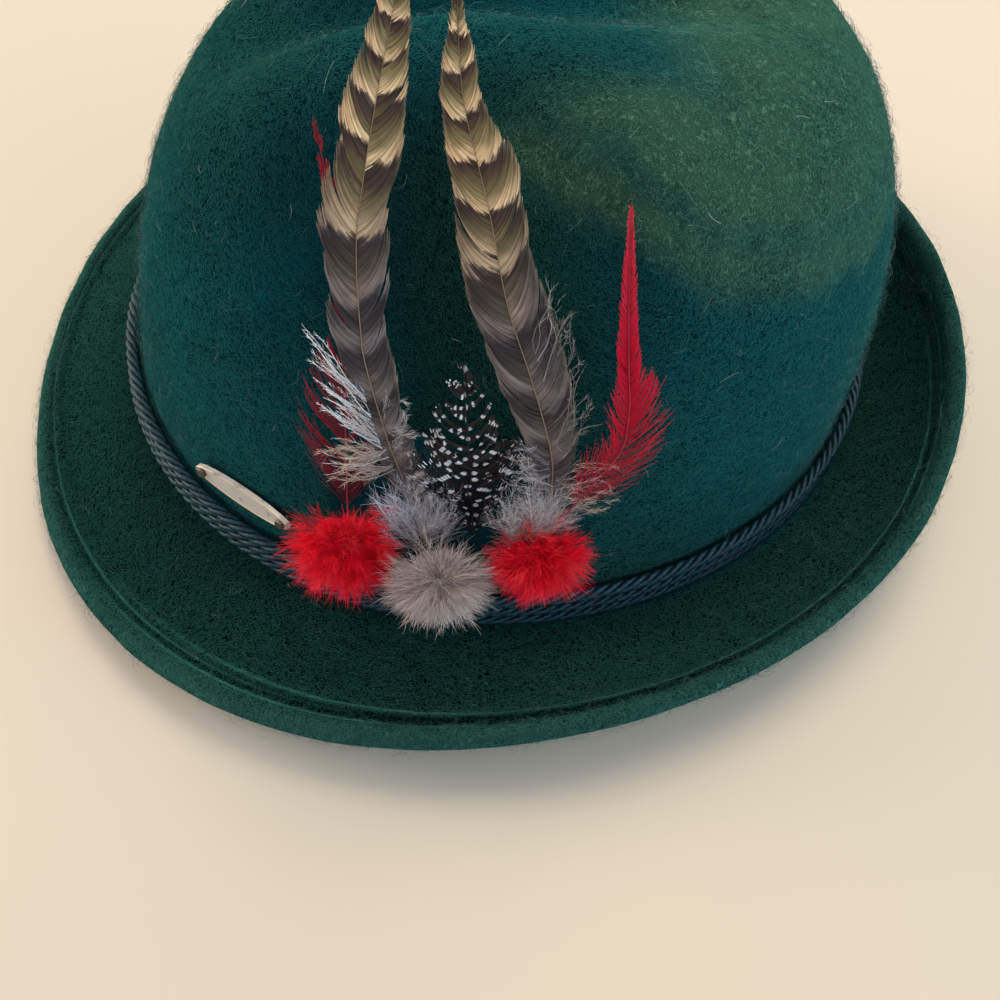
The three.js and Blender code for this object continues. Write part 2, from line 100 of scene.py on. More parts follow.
def noiseNode(tree, place, scale, detail=2.0, roughness=0.5, distortion=0.0):
    return addNode(tree, "ShaderNodeTexNoise", {
        "Vector": place, "Scale": scale, "Detail": detail, "Roughness": roughness,
        "Distortion": distortion}).outputs[0]


# The two parts of a UV map
def uvParts(tree, layerName):
    uv = addNode(tree, "ShaderNodeUVMap", uv_map=layerName).outputs[0]
    return tuple(addNode(tree, "ShaderNodeSeparateXYZ", {0: uv}).outputs[:2])


def makeGroup(name, inputs, outputs):
    tree = bpy.data.node_groups.new(name, "ShaderNodeTree")
    for label, kind, value in inputs:
        socket = tree.interface.new_socket(label, in_out="INPUT", socket_type=kind)
        socket.default_value = value
    for label, kind in outputs:
        tree.interface.new_socket(label, in_out="OUTPUT", socket_type=kind)
    start = tree.nodes.new("NodeGroupInput")
    end = tree.nodes.new("NodeGroupOutput")
    return tree, start.outputs, end.inputs


def useGroup(tree, group, **values):
    node = tree.nodes.new("ShaderNodeGroup")
    node.node_tree = group
    for key, value in values.items():
        socket = node.inputs[key]
        if isinstance(value, bpy.types.NodeSocket):
            tree.links.new(value, socket)
        else:
            socket.default_value = value
    return node


def newMaterial(name, **shaderValues):
    material = bpy.data.materials.new(name)
    material.use_nodes = True
    tree = material.node_tree
    shader = tree.nodes["Principled BSDF"]
    for key, value in shaderValues.items():
        shader.inputs[key].default_value = value
    return material, tree, shader


def connectBump(tree, shader, height, distance, strength=1.0):
    bump = addNode(tree, "ShaderNodeBump", {"Height": height})
    bump.inputs["Distance"].default_value = distance
    bump.inputs["Strength"].default_value = strength
    tree.links.new(bump.outputs[0], shader.inputs["Normal"])


# Matted wool: cloudy tone with thin curly fibre lines on it
def makeWoolGroup():
    inputs = [("Deep", "NodeSocketColor", (0.002, 0.02, 0.018, 1)),
              ("Main", "NodeSocketColor", (0.01, 0.05, 0.04, 1)),
              ("Fibre", "NodeSocketColor", (0.06, 0.14, 0.1, 1)),
              ("Fibres", "NodeSocketFloat", 1.0)]
    outputs = [("Colour", "NodeSocketColor"), ("Height", "NodeSocketFloat")]
    tree, start, end = makeGroup("feltedWool", inputs, outputs)
    place = objectPlace(tree)
    lines = None
    for scale, offset, thin in ((420, 0.0, 0.035), (650, 3.1, 0.045), (980, 7.7, 0.06)):
        shift = (offset, offset * 0.7, -offset)
        moved = addNode(tree, "ShaderNodeVectorMath", {0: place, 1: shift}, operation="ADD")
        curl = noiseNode(tree, moved.outputs[0], scale, 1.0, distortion=1.2)
        away = mathNode(tree, "ABSOLUTE", mathNode(tree, "SUBTRACT", curl, 0.5))
        line = rescale(tree, away, 0.0, thin, 1.0, 0.0)
        lines = line if lines is None else mathNode(tree, "MAXIMUM", lines, line)
    broad = noiseNode(tree, place, 55.0, 3.0, 0.6)
    patch = noiseNode(tree, place, 260.0, 2.0, 0.7)
    cloud = mathNode(tree, "MULTIPLY_ADD", broad, 0.55, mathNode(tree, "MULTIPLY", patch, 0.45))
    base = mixColours(tree, rescale(tree, cloud, 0.36, 0.64), start["Deep"], start["Main"])
    share = mathNode(tree, "MULTIPLY", mathNode(tree, "MULTIPLY", lines, start["Fibres"]), 0.62)
    tree.links.new(mixColours(tree, share, base, start["Fibre"]), end["Colour"])
    height = mathNode(tree, "MULTIPLY_ADD", lines, 0.5, mathNode(tree, "MULTIPLY", patch, 0.8))
    tree.links.new(height, end["Height"])
    return tree


# Tone along a strand: its root and tip, with every strand a little different
def makeStrandGroup():
    inputs = [("Root", "NodeSocketColor", (0.3, 0.3, 0.3, 1)),
              ("Tip", "NodeSocketColor", (0.8, 0.8, 0.8, 1)),
              ("Odd", "NodeSocketColor", (0.5, 0.5, 0.5, 1)),
              ("Turn", "NodeSocketFloat", 0.6),
              ("Oddness", "NodeSocketFloat", 0.3)]
    tree, start, end = makeGroup("strandTone", inputs, [("Colour", "NodeSocketColor")])
    chance, along = uvParts(tree, "strand")
    power = mathNode(tree, "DIVIDE", 1.0, mathNode(tree, "MAXIMUM", start["Turn"], 0.05))
    tone = mixColours(tree, mathNode(tree, "POWER", along, power), start["Root"], start["Tip"])
    odd = rescale(tree, chance, 0.6, 1.0)
    tone = mixColours(tree, mathNode(tree, "MULTIPLY", odd, start["Oddness"]), tone, start["Odd"])
    tree.links.new(tone, end["Colour"])
    return tree


woolGroup = makeWoolGroup()
strandGroup = makeStrandGroup()


def woolMaterial(name, tones, fibres, bump):
    material, tree, shader = newMaterial(name, **{"Roughness": 0.95, "Specular IOR Level": 0.04})
    deep, main, fibre = ((*tones[part], 1) for part in ("deep", "main", "fibre"))
    felted = useGroup(tree, woolGroup, Deep=deep, Main=main, Fibre=fibre, Fibres=fibres)
    tree.links.new(felted.outputs["Colour"], shader.inputs["Base Color"])
    connectBump(tree, shader, felted.outputs["Height"], bump)
    return material


# Material of strands, from their root to their tip, where some are odd; turn is where the tone changes
def strandMaterial(name, root, tip, odd, turn=0.6, oddness=0.3, roughness=0.55, sheen=0.2):
    material, tree, shader = newMaterial(name, **{
        "Roughness": roughness, "Sheen Weight": sheen, "Specular IOR Level": 0.12})
    root, tip, odd = (*root, 1), (*tip, 1), (*odd, 1)
    tone = useGroup(tree, strandGroup, Root=root, Tip=tip, Odd=odd, Turn=turn, Oddness=oddness)
    tree.links.new(tone.outputs["Colour"], shader.inputs["Base Color"])
    return material


# Mesh helpers
def addPiece(name, mesh, material, replaced=(), smooth=True):
    obj = bpy.data.objects.new(name, mesh)
    scene.collection.objects.link(obj)
    mesh.materials.clear()
    mesh.materials.append(material)
    if smooth:
        mesh.polygons.foreach_set("use_smooth", np.ones(len(mesh.polygons), bool))
    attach(obj, "root")
    if replaced:
        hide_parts(*replaced)
    return obj


# Gives a CAD node that stays in the model its material
def dressNode(node, material):
    nodes[node].data.materials.clear()
    nodes[node].data.materials.append(material)


def nodePoints(node):
    data = nodes[node].data
    points = np.empty(len(data.vertices) * 3)
    data.vertices.foreach_get("co", points)
    return np.unique(points.reshape(-1, 3).round(7), axis=0)


# A copy of a CAD node with its loose triangles joined to quads and smoothed
def smoothCopy(node, name, levels):
    work = bmesh.new()
    work.from_mesh(nodes[node].data)
    bmesh.ops.remove_doubles(work, verts=work.verts, dist=1e-6)
    bmesh.ops.join_triangles(work, faces=work.faces, angle_face_threshold=math.radians(70),
                             angle_shape_threshold=math.radians(80))
    rough = bpy.data.meshes.new(name + "Rough")
    work.to_mesh(rough)
    work.free()
    holder = bpy.data.objects.new(name + "Rough", rough)
    scene.collection.objects.link(holder)
    subdivision = holder.modifiers.new("smooth", "SUBSURF")
    subdivision.levels = subdivision.render_levels = levels
    graph = bpy.context.evaluated_depsgraph_get()
    mesh = bpy.data.meshes.new_from_object(holder.evaluated_get(graph))
    mesh.name = name
    bpy.data.objects.remove(holder)
    return mesh


# Many strands as one mesh: lines is strands x points x 3 and widths strands x points. The strand UV holds
# a value of each strand and how far along it a point lies, and tone is a chance value of each strand.
def ribbonMesh(name, lines, widths, sides, value, along=None):
    count, steps, _ = lines.shape
    left = lines - sides * widths[..., None] / 2
    right = lines + sides * widths[..., None] / 2
    points = np.stack([left, right], 2).reshape(-1, 3)
    first = (np.arange(count)[:, None] * steps + np.arange(steps - 1)) * 2
    faces = np.stack([first, first + 1, first + 3, first + 2], -1).reshape(-1, 4)
    mesh = bpy.data.meshes.new(name)
    mesh.from_pydata(points.tolist(), [], faces.tolist())
    if along is None:
        along = np.broadcast_to(np.linspace(0, 1, steps), (count, steps))
    fillUv(mesh, "strand", np.broadcast_to(value[:, None], (count, steps)), along)
    addAttribute(mesh, "tone", np.repeat(rng.random(count), steps * 2))
    return mesh


def fillUv(mesh, layerName, across, along):
    corner = np.empty(len(mesh.loops), np.int64)
    mesh.loops.foreach_get("vertex_index", corner)
    pairs = np.stack([across, along], -1).reshape(-1, 2)
    layer = mesh.uv_layers.new(name=layerName)
    layer.data.foreach_set("uv", pairs[corner // 2].ravel())


def addAttribute(mesh, name, values):
    layer = mesh.attributes.new(name, "FLOAT", "POINT")
    layer.data.foreach_set("value", values.astype(np.float32))


# A curve made solid, for cords, shafts and rims
def curveMesh(name, loops, radius, sides, closed, taper=None):
    curve = bpy.data.curves.new(name, "CURVE")
    curve.dimensions = "3D"
    curve.bevel_depth = radius
    curve.bevel_resolution = sides
    curve.use_fill_caps = not closed
    for loop in loops:
        spline = curve.splines.new("POLY")
        spline.points.add(len(loop) - 1)
        spline.points.foreach_set("co", np.c_[loop, np.ones(len(loop))].ravel())
        spline.use_cyclic_u = closed
        if taper is not None:
            spline.points.foreach_set("radius", taper)
    holder = bpy.data.objects.new(name + "Curve", curve)
    scene.collection.objects.link(holder)
    graph = bpy.context.evaluated_depsgraph_get()
    mesh = bpy.data.meshes.new_from_object(holder.evaluated_get(graph))
    bpy.data.objects.remove(holder)
    mesh.name = name
    return mesh


def unit(vectors):
    return vectors / np.maximum(np.linalg.norm(vectors, axis=-1, keepdims=True), 1e-12)


def randomDirections(count):
    return unit(rng.normal(size=(count, 3)))


# Random places on a mesh's faces, thinned by keep(centres, normals)
def scatter(mesh, count, keep):
    mesh.calc_loop_triangles()
    index = np.empty(len(mesh.loop_triangles) * 3, np.int64)
    mesh.loop_triangles.foreach_get("vertices", index)
    points = np.empty(len(mesh.vertices) * 3)
    mesh.vertices.foreach_get("co", points)
    corners = points.reshape(-1, 3)[index].reshape(-1, 3, 3)
    cross = np.cross(corners[:, 1] - corners[:, 0], corners[:, 2] - corners[:, 0])
    normals = unit(cross)
    weight = np.linalg.norm(cross, axis=1) * keep(corners.mean(1), normals)
    chosen = rng.choice(len(weight), count, p=weight / weight.sum())
    a, b = rng.random((2, count, 1))
    a, b = np.where(a + b > 1, 1 - a, a), np.where(a + b > 1, 1 - b, b)
    places = corners[chosen, 0] + a * (corners[chosen, 1] - corners[chosen, 0])
    places += b * (corners[chosen, 2] - corners[chosen, 0])
    return places, normals[chosen]


# Camera, floor and light
camera = dict(azimuth=83.92, elevation=58.36, roll=2.87, distance=0.3495, target=(0, 0.00615, -0.08275),
              focal=932.3, imageWidth=1000)


def makeCamera():
    a, e = math.radians(camera["azimuth"]), math.radians(camera["elevation"])
    back = Vector((math.sin(a) * math.cos(e), -math.cos(a) * math.cos(e), math.sin(e)))
    data = bpy.data.cameras.new("camera")
    data.sensor_width = 36
    data.lens = camera["focal"] / camera["imageWidth"] * data.sensor_width
    data.clip_start = 0.01
    obj = bpy.data.objects.new("camera", data)
    scene.collection.objects.link(obj)
    roll = Matrix.Rotation(math.radians(camera["roll"]), 3, "Z")
    turn = (-back).to_track_quat("-Z", "Y").to_matrix() @ roll
    place = Vector(camera["target"]) + back * camera["distance"]
    obj.matrix_world = Matrix.Translation(place) @ turn.to_4x4()
    scene.camera = obj


floor = dict(colour=(0.665, 0.555, 0.37), cool=(0.65, 0.56, 0.415), size=3.0, gap=0.2 * mm)


def makeFloor():
    mesh = bpy.data.meshes.new("floor")
    work = bmesh.new()
    bmesh.ops.create_grid(work, x_segments=1, y_segments=1, size=floor["size"])
    bmesh.ops.translate(work, verts=work.verts, vec=(0, 0, -floor["gap"]))
    work.to_mesh(mesh)
    work.free()
    obj = bpy.data.objects.new("floor", mesh)
    scene.collection.objects.link(obj)
    material, tree, shader = newMaterial("paleTable", Roughness=0.55)
    place = objectPlace(tree)
    soft = noiseNode(tree, place, 3.0)
    colour = mixColours(tree, soft, (*floor["colour"], 1), (*floor["cool"], 1))
    tree.links.new(colour, shader.inputs["Base Color"])
    mesh.materials.append(material)
    obj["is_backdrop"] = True


lights = [
    dict(name="warmKey", place=(-0.5, 0.34, 1.1), size=0.8, power=8.8, colour=(1.0, 0.88, 0.66)),
    dict(name="coolWindow", place=(0.5, 1.1, 0.38), size=0.7, power=6.6, colour=(0.25, 0.68, 1.0)),
    dict(name="leftBounce", place=(-0.4, -1.2, 0.48), size=0.7, power=9, colour=(1.0, 0.93, 0.7)),
]
sky = dict(colour=(0.9, 0.92, 1.16), strength=0.77)
lightsAim = Vector((0, 0, 0.04))


def makeLights():
    for light in lights:
        data = bpy.data.lights.new(light["name"], "AREA")
        data.shape = "DISK"
        data.size = light["size"]
        data.energy = light["power"]
        data.color = light["colour"]
        obj = bpy.data.objects.new(light["name"], data)
        scene.collection.objects.link(obj)
        place = Vector(light["place"])
        obj.location = place
        obj.rotation_euler = (lightsAim - place).to_track_quat("-Z", "Y").to_euler()
        obj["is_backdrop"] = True
    world = bpy.data.worlds.new("softSky")
    scene.world = world
    world.use_nodes = True
    background = world.node_tree.nodes["Background"]
    background.inputs[0].default_value = (*sky["colour"], 1)
    background.inputs[1].default_value = sky["strength"]


makeCamera()
makeFloor()
makeLights()
scene.view_settings.view_transform = "Standard"
print("camera, floor and light made")


# Felt hat: its groove and lip follow ramps of the distance from the edge, as a share of hemWidth
felt = dict(levels=2, ripple=0.25 * mm, rippleSize=14 * mm, pillow=0.12 * mm, pillowSize=3.5 * mm,
            flatBelow=1.2 * mm, crownOval=(84 * mm, 98 * mm), brimOval=(92 * mm, 106 * mm),
            fuzzOval=(93 * mm, 107 * mm), ovalMiddle=4.4 * mm, hemWidth=12 * mm, groove=6.4 * mm,
            grooveWidth=1.2 * mm, grooveDepth=0.7 * mm,
            grooveRamp=((0.46, 0), (0.52, 1), (0.57, 0.8), (0.64, 0)),
            lipRamp=((0.6, 0), (0.68, 1), (0.77, 1), (0.85, 0)), grooveShade=(0.0004, 0.003, 0.003, 1))

# Painted light: the crown's top gets the lighter, warmer top tone above its shoulder, whose height goes by y,
# and a dip of painted shade runs over it along a fold; the front gets less of the painted light, and
# brimShare is how much the brim gets
litTopPaint = dict(shoulderAt=(-60, -48, -38, 0, 19, 34, 56, 73), shoulder=(93, 97.5, 102.7, 101.6, 101, 92, 84, 80),
            uneven=3 * mm, edge=(-4.5 * mm, 4 * mm), dip=7.5 * mm, dipWidth=2.2 * mm, dipDepth=0.45,
            dipSides=(20 * mm, 30 * mm), sides=(30 * mm, 42 * mm), back=(20 * mm, 45 * mm),
            front=(-35 * mm, 0), frontShare=0.45, brimShare=0.45)

# The dark tone lies on the brim, under the plume, in front of the top and low on the wall: on the brim it is
# partly darker felt and partly painted shade from the crown, on the wall it is painted shade under the plume,
# at the front and by the cord
dark = dict(brimOval=(0.955, 0.985), brimEdge=(2 * mm, 7 * mm),
            plume=0.88, plumeAt=-8 * mm, plumeWidth=30 * mm, plumeSides=(12 * mm, 40 * mm),
            front=0.55, frontFrom=(8 * mm, 42 * mm), frontHeight=(70 * mm, 95 * mm),
            foot=0.8, footAt=28 * mm, footWidth=26 * mm, footHeight=(16 * mm, 50 * mm))

# Felt tones: the top tone is painted light, lighter and warmer as if lit from above; the brim tone is partly
# darker felt and partly painted shade
wool = dict(
    wall=dict(deep=(0.0004, 0.018, 0.023), main=(0.001, 0.035, 0.042), fibre=(0.004, 0.1, 0.1)),
    top=dict(deep=(0.012, 0.038, 0.021), main=(0.032, 0.078, 0.042), fibre=(0.1, 0.205, 0.115)),
    brim=dict(deep=(0.0006, 0.005, 0.004), main=(0.0018, 0.0105, 0.008), fibre=(0.008, 0.026, 0.019)),
)

# Loose hairs of wool: edgeGain is how much denser they are where the hat is seen edge on
fuzz = dict(steps=6, length=2.6 * mm, shortest=0.9 * mm, longest=6 * mm, spread=0.55, width=0.06 * mm,
            edgeGain=8, curl=2.2, lift=(0.15, 0.95))
lint = dict(fuzz, steps=5, length=3.6 * mm, longest=7 * mm, spread=0.45, width=0.09 * mm, edgeGain=0,
            curl=0.5, lift=(0.02, 0.2))


# Place across an oval that goes round the crown: 1 on the oval, less inside it
def ovalShare(points, oval):
    return np.hypot(points[:, 0] / oval[0], (points[:, 1] - felt["ovalMiddle"]) / oval[1])


def meshPoints(mesh, what="vertices", key="co"):
    data = getattr(mesh, what)
    values = np.empty(len(data) * 3)
    data.foreach_get(key, values)
    return values.reshape(-1, 3)


def smoothShare(ends, values):
    t = np.clip((values - ends[0]) / (ends[1] - ends[0]), 0, 1)
    return t * t * (3 - 2 * t)


def bellShare(values, middle, width):
    return np.exp(-((values - middle) / width) ** 2)


# Outermost points of the brim, one for each small angle round the hat
def brimEdge(points, count=96):
    angle = np.arctan2(points[:, 1], points[:, 0])
    index = ((angle + math.pi) / (2 * math.pi) * count).astype(int) % count
    radius = np.hypot(points[:, 0], points[:, 1])
    edge = []
    for k in range(count):
        near = np.nonzero(index == k)[0]
        if len(near):
            edge.append(points[near[np.argmax(radius[near])]])
    return np.array(edge)


# How far each point lies from the brim's edge
def fromEdge(points):
    edge = brimEdge(points)
    best = np.full(len(points), 1.0)
    for a, b in zip(edge, np.roll(edge, -1, 0)):
        step = b - a
        share = np.clip((points - a) @ step / (step @ step), 0, 1)
        best = np.minimum(best, np.linalg.norm(points - a - share[:, None] * step, axis=1))
    return best


# The felt's tone goes from wall to the painted-light top tone by the lit-top share, and to the brim's dark
# tone by the share of brim and painted shade
def feltMaterial():
    material, tree, shader = newMaterial("greenWoolFelt", **{
        "Roughness": 0.95, "Sheen Weight": 0.38, "Sheen Roughness": 0.22, "Sheen Tint": (0.18, 0.8, 0.58, 1),
        "Specular IOR Level": 0.0})
    faded, pressed, hem = (addNode(tree, "ShaderNodeAttribute", attribute_name=key).outputs["Fac"]
                           for key in ("faded", "pressed", "hem"))
    groove = ramp(tree, hem, [(share, (depth,) * 3) for share, depth in felt["grooveRamp"]])
    lip = ramp(tree, hem, [(share, (height,) * 3) for share, height in felt["lipRamp"]])
    tones = {}
    for part in ("deep", "main", "fibre"):
        wall, top, brim = ((*wool[place][part], 1) for place in ("wall", "top", "brim"))
        tones[part] = mixColours(tree, pressed, mixColours(tree, faded, wall, top), brim)
    felted = useGroup(tree, woolGroup, Deep=tones["deep"], Main=tones["main"], Fibre=tones["fibre"])
    # Painted highlight along the hem's lip, where the colour goes towards the fibre tone
    lipHighlight = mathNode(tree, "MULTIPLY", lip, 0.4)
    colour = mixColours(tree, lipHighlight, felted.outputs["Colour"], tones["fibre"])
    # Painted shade in the stitched groove
    colour = mixColours(tree, mathNode(tree, "MULTIPLY", groove, 0.85), colour, felt["grooveShade"])
    tree.links.new(colour, shader.inputs["Base Color"])
    pressedIn = mathNode(tree, "MULTIPLY_ADD", groove, -1.6, felted.outputs["Height"])
    connectBump(tree, shader, mathNode(tree, "MULTIPLY_ADD", lip, 1.1, pressedIn), 0.7 * mm)
    return material


# Share of painted light on the crown's top, less along the dip of painted shade and at the front
def paintedLitTopShare(x, y, z, waves):
    shoulder = np.interp(y / mm, litTopPaint["shoulderAt"], litTopPaint["shoulder"]) * mm
    above = z - (shoulder + waves / felt["ripple"] * litTopPaint["uneven"])
    dip = bellShare(above, litTopPaint["dip"], litTopPaint["dipWidth"]) * smoothShare(litTopPaint["dipSides"], x)
    faded = smoothShare(litTopPaint["edge"], above) * (1 - litTopPaint["dipDepth"] * dip)
    faded *= np.maximum(smoothShare(litTopPaint["sides"], x), smoothShare(litTopPaint["back"], y))
    return faded * (litTopPaint["frontShare"] + (1 - litTopPaint["frontShare"]) * smoothShare(litTopPaint["front"], y))


# Painted shade on the wall: under the plume, high at the front of the crown and low by the cord
def paintedWallShade(x, y, z, faded):
    plume = dark["plume"] * bellShare(y, dark["plumeAt"], dark["plumeWidth"])
    plume *= smoothShare(dark["plumeSides"], x) * (1 - faded)
    front = dark["front"] * smoothShare(dark["frontFrom"], -y) * smoothShare(dark["frontHeight"], z)
    foot = dark["foot"] * bellShare(y, dark["footAt"], dark["footWidth"])
    foot *= 1 - smoothShare(dark["footHeight"], z)
    return np.maximum(np.maximum(plume, front), foot)


def makeFelt():
    mesh = smoothCopy("felt_body", "felt_hat", felt["levels"])
    normals = meshPoints(mesh, "vertices", "normal")
    points = meshPoints(mesh)
    edge = fromEdge(points)
    onBrim = ovalShare(points, felt["brimOval"]) >= 1
    inward = -(normals[:, :2] * points[:, :2]).sum(1) / np.maximum(np.hypot(points[:, 0], points[:, 1]), 1e-6)
    upper = onBrim & (normals[:, 2] > -0.2) & ((inward > -0.35) | (normals[:, 2] > 0.6))
    groove = bellShare(edge, felt["groove"], felt["grooveWidth"]) * upper
    waves = np.array([noise.noise(Vector(p) / felt["rippleSize"]) * felt["ripple"]
                      + noise.noise(Vector(p) / felt["pillowSize"]) * felt["pillow"] for p in points])
    waves *= points[:, 2] > felt["flatBelow"]
    points = points + normals * (waves - groove * felt["grooveDepth"])[:, None]
    mesh.vertices.foreach_set("co", points.ravel())
    x, y, z = np.abs(points[:, 0]), points[:, 1], points[:, 2]
    faded = paintedLitTopShare(x, y, z, waves)
    addAttribute(mesh, "faded", np.where(onBrim, litTopPaint["brimShare"], faded))
    # The brim's dark tone, partly darker felt and partly painted shade, left off just outside the crown's
    # foot and near the edge
    darkBrim = smoothShare(dark["brimOval"], ovalShare(points, felt["brimOval"]))
    darkBrim *= smoothShare(dark["brimEdge"], edge)
    addAttribute(mesh, "pressed", np.maximum(darkBrim, np.where(onBrim, 0, paintedWallShade(x, y, z, faded))))
    hem = np.minimum(edge / felt["hemWidth"], 1)
    addAttribute(mesh, "hem", np.where(upper | (hem == 1), hem, 0))
    return addPiece("felt_hat", mesh, feltMaterial(), ["felt_body"])


# Not inside the crown, where no loose wool is wanted
def isOuter(points, normals):
    flat = points * (1, 1, 0)
    outward = (unit(flat) * normals).sum(1)
    return (ovalShare(points, felt["crownOval"]) >= 1) | (normals[:, 2] > 0.15) | (outward > 0.3)


# Loose wool on the felt, denser where the hat is seen edge on
def growFuzz(name, count, keep, felted, look, material):
    eye = np.array(scene.camera.location)

    def weight(p, n):
        facing = (unit(eye - p) * n).sum(1)
        return (isOuter(p, n) & keep(p)) * (1 + look["edgeGain"] * bellShare(facing, 0, 0.22))

    places, normals = scatter(felted.data, count, weight)
    tangent = unit(np.cross(normals, randomDirections(count)))
    across = np.cross(normals, tangent)
    steps = look["steps"]
    length = look["length"] * np.exp(rng.normal(0, look["spread"], count))
    length = np.clip(length, look["shortest"], look["longest"])
    heading = rng.uniform(0, 2 * math.pi, count)
    curl = rng.normal(0, look["curl"], count)
    lift = rng.uniform(*look["lift"], count)
    line = [places - normals * 0.05 * mm]
    for i in range(steps - 1):
        share = i / (steps - 2)
        turn = heading + curl * share ** 1.3
        rise = lift * (1 - 1.5 * share)
        step = np.cos(turn)[:, None] * tangent + np.sin(turn)[:, None] * across
        step = step * np.cos(rise)[:, None] + normals * np.sin(rise)[:, None]
        line.append(line[-1] + step * (length / (steps - 1))[:, None])
    lines = np.stack(line, 1)
    sides = unit(np.cross(np.gradient(lines, axis=1), randomDirections(count)[:, None]))
    widths = look["width"] * rng.uniform(0.7, 1.3, (count, 1)) * np.linspace(1, 0.45, steps)
    lines[..., 2] = np.maximum(lines[..., 2], 0.02 * mm)  # hairs stay above the table
    return addPiece(name, ribbonMesh(name, lines, widths, sides, rng.random(count)), material)


def onCrown(points):
    return ovalShare(points, felt["fuzzOval"]) < 1


feltPiece = makeFelt()
looseWool = strandMaterial("looseWool", (0.002, 0.05, 0.045), (0.014, 0.13, 0.105), (0.3, 0.42, 0.34),
                           turn=0.8, oddness=0.5, roughness=0.8, sheen=0.08)
paleLint = strandMaterial("paleLint", (0.12, 0.2, 0.13), (0.4, 0.45, 0.32), (0.6, 0.6, 0.5),
                          turn=0.8, oddness=0.8, roughness=0.7, sheen=0.1)
growFuzz("crown_fuzz", 19000, onCrown, feltPiece, fuzz, looseWool)
growFuzz("brim_fuzz", 15000, lambda p: ~onCrown(p), feltPiece, fuzz, looseWool)
growFuzz("lint_hairs", 170, onCrown, feltPiece, lint, paleLint)
print("felt made")


# Cord band: each cord is laid from plies that turn round its middle line
cord = dict(turns=44, perTurn=16, plies=4, plyRadius=0.7 * mm, lay=0.98 * mm, sides=1, rowPhase=1.3,
            deep=(0.0003, 0.006, 0.009), bright=(0.004, 0.06, 0.07), worn=(0.012, 0.06, 0.055))


# Middles of the rings of a cord's CAD tube, which has eight sides, in order round the hat
def cordCentres(node):
    points = nodePoints(node)
    middle = points.mean(0)
    angle = np.arctan2(points[:, 1] - middle[1], points[:, 0] - middle[0])
    order = np.argsort(angle)
    gaps = np.diff(np.r_[angle[order], angle[order[0]] + 2 * math.pi])
    start = (int(np.argmax(gaps)) + 1) % len(order)
    return points[np.roll(order, -start)].reshape(-1, 8, 3).mean(1)


def smoothLoop(points, count):
    spread = np.arange(count) * len(points) / count
    k = spread.astype(int)
    t = (spread - k)[:, None]
    a, b, c, d = (points[(k + shift) % len(points)] for shift in (-1, 0, 1, 2))
    square = (2 * a - 5 * b + 4 * c - d) * t ** 2
    return 0.5 * (2 * b + (c - a) * t + square + (3 * b - a - 3 * c + d) * t ** 3)


def makeCord(node, name, material, phase):
    count = cord["turns"] * cord["perTurn"]
    line = smoothLoop(cordCentres(node), count)
    tangent = unit(np.roll(line, -1, 0) - np.roll(line, 1, 0))
    side = unit(np.cross(tangent, (0, 0, 1)))
    up = np.cross(side, tangent)
    plies = []
    for ply in range(cord["plies"]):
        turn = 2 * math.pi * (np.arange(count) / cord["perTurn"] + ply / cord["plies"]) + phase
        plies.append(line + cord["lay"] * (np.cos(turn)[:, None] * side + np.sin(turn)[:, None] * up))
    mesh = curveMesh(name, plies, cord["plyRadius"], cord["sides"], True)
    return addPiece(name, mesh, material, [node])


def cordMaterial():
    material, tree, shader = newMaterial("greenCord", **{"Roughness": 0.45, "Specular IOR Level": 0.4})
    place = objectPlace(tree)
    thread = noiseNode(tree, place, 1500.0, distortion=0.6)
    share = rescale(tree, thread, 0.36, 0.66)
    base = mixColours(tree, share, (*cord["deep"], 1), (*cord["bright"], 1))
    worn = mathNode(tree, "MULTIPLY", rescale(tree, noiseNode(tree, place, 90.0), 0.6, 0.75), 0.35)
    tree.links.new(mixColours(tree, worn, base, (*cord["worn"], 1)), shader.inputs["Base Color"])
    connectBump(tree, shader, thread, 0.2 * mm)
    return material


cordYarn = cordMaterial()
for row, place in enumerate(("lower", "middle", "upper")):
    makeCord("cord_" + place, "twisted_cord_" + place, cordYarn, row * cord["rowPhase"])
print("cord band made")


# Badge: a bare plate with a raised rim
badge = dict(rimRadius=0.16 * mm, rimHalfLength=13.75 * mm, rimHalfWidth=2.95 * mm, rimPoints=72,
             faceHeight=0.5 * mm, lift=0.04 * mm)


# Middle of the plate and its directions: along it, up it and out of its face
def plateFrame():
    points = nodePoints("badge_plate")
    middle = points.mean(0)
    _, _, axes = np.linalg.svd(points - middle)
    normal = axes[2] * (1 if axes[2][0] > 0 else -1)
    along = axes[0] * (1 if axes[0][1] > 0 else -1)
    return middle, along, np.cross(normal, along), normal


def metalMaterial(name, colour, dirt, roughness, metallic):
    material, tree, shader = newMaterial(name, Metallic=metallic)
    place = objectPlace(tree)
    stain = noiseNode(tree, place, 380.0, 4.0, 0.65)
    share = rescale(tree, stain, 0.52, 0.74)
    tree.links.new(mixColours(tree, share, (*colour, 1), (*dirt, 1)), shader.inputs["Base Color"])
    rough = rescale(tree, stain, 0.3, 0.7, roughness, roughness + 0.25)
    tree.links.new(rough, shader.inputs["Roughness"])
    connectBump(tree, shader, noiseNode(tree, place, 2600.0), 0.04 * mm)
    return material


